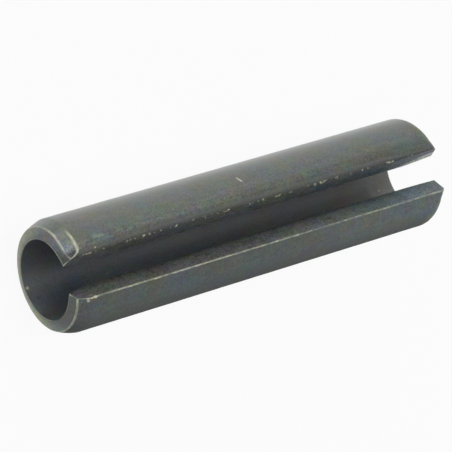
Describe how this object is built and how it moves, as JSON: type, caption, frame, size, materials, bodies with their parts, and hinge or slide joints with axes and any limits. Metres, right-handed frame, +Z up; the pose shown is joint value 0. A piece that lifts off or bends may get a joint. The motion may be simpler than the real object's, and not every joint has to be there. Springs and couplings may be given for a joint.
{
  "type": "slotted spring pin",
  "caption": "Heavy-duty slotted spring pin: a rolled spring steel tube with one open slot along its length, rounded ends and a plain bore.",
  "frame": {"origin": "on the surface the pin lies on, under the middle of its length, at the bottom centre of its box", "axes": "+X along the pin, +Y across it towards the lip with the drawn-over corner, +Z up through the slot"},
  "size_m": [0.05, 0.0126, 0.012],
  "materials": {
    "spring_steel": "blackened by hardening, oiled, edges rubbed to pale metal"
  },
  "bodies": {
    "root": {"spring_pin": "spring_steel"}
  },
  "joints": []
}
